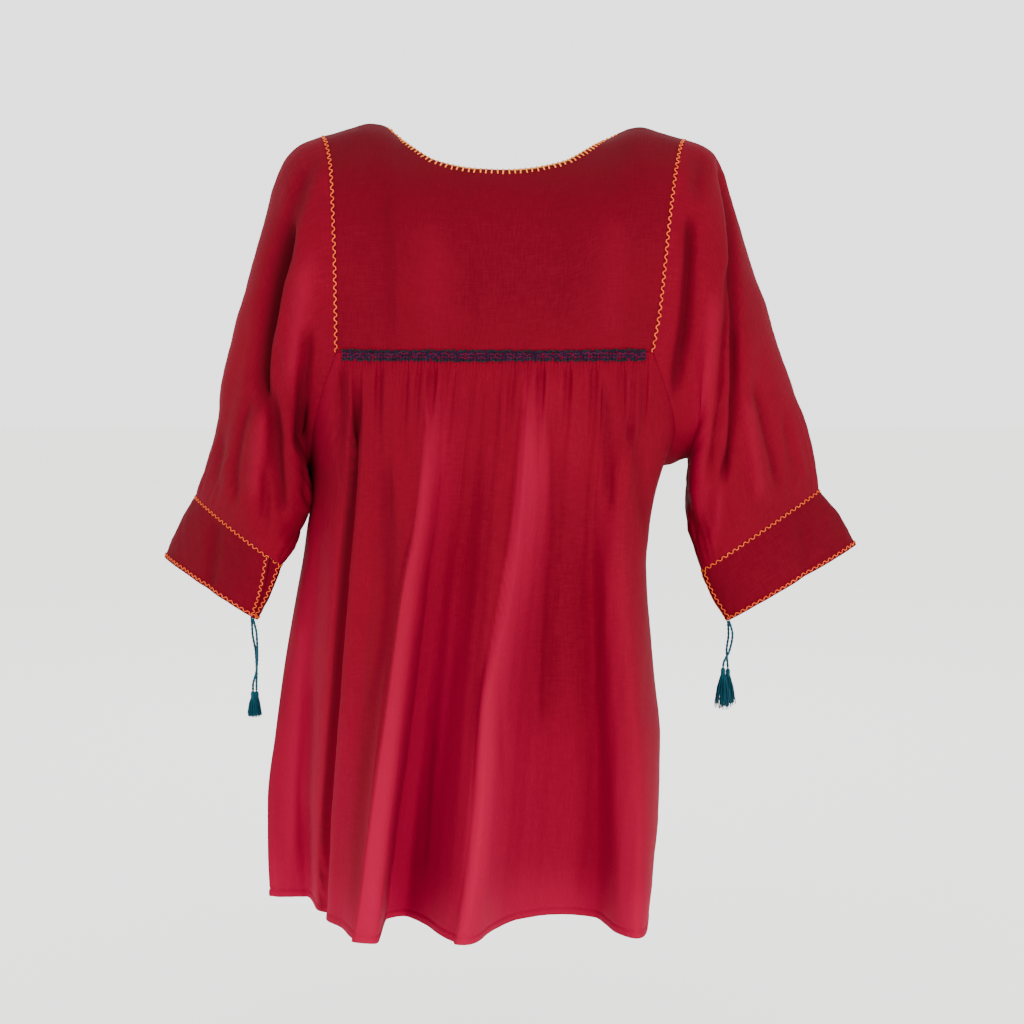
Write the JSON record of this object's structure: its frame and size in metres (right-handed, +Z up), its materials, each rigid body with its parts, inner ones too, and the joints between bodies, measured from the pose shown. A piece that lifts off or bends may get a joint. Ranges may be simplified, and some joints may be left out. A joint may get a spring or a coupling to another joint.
{
  "type": "blouse",
  "caption": "Peasant blouse in its worn form: plain yokes, gathered body, three-quarter sleeves with slit cuffs, and tasselled tie cords.",
  "frame": {"origin": "midway between the tops of the two shoulder ridges", "axes": "+Z up along the wearer, +Y towards the wearer's front, so the back seen in the picture faces -Y, and +X towards the wearer's right arm"},
  "size_m": [0.7145, 0.314, 0.7857],
  "materials": {
    "crimson_cotton": "soft woven cotton, matt",
    "deep_crimson_cotton": "soft woven cotton, matt",
    "teal_cord": "twisted cotton cord, slight sheen"
  },
  "bodies": {
    "root": {"back_yoke": "crimson_cotton", "front_yoke": "crimson_cotton", "back_panel": "crimson_cotton", "front_panel": "crimson_cotton", "sleeve_left": "crimson_cotton", "sleeve_right": "crimson_cotton", "cuff_left": "deep_crimson_cotton", "cuff_right": "deep_crimson_cotton", "tie_left_a": "teal_cord", "tie_left_b": "teal_cord", "tie_right_a": "teal_cord", "tie_right_b": "teal_cord", "tassel_left_a": "teal_cord", "tassel_left_b": "teal_cord", "tassel_right_a": "teal_cord", "tassel_right_b": "teal_cord"}
  },
  "joints": []
}
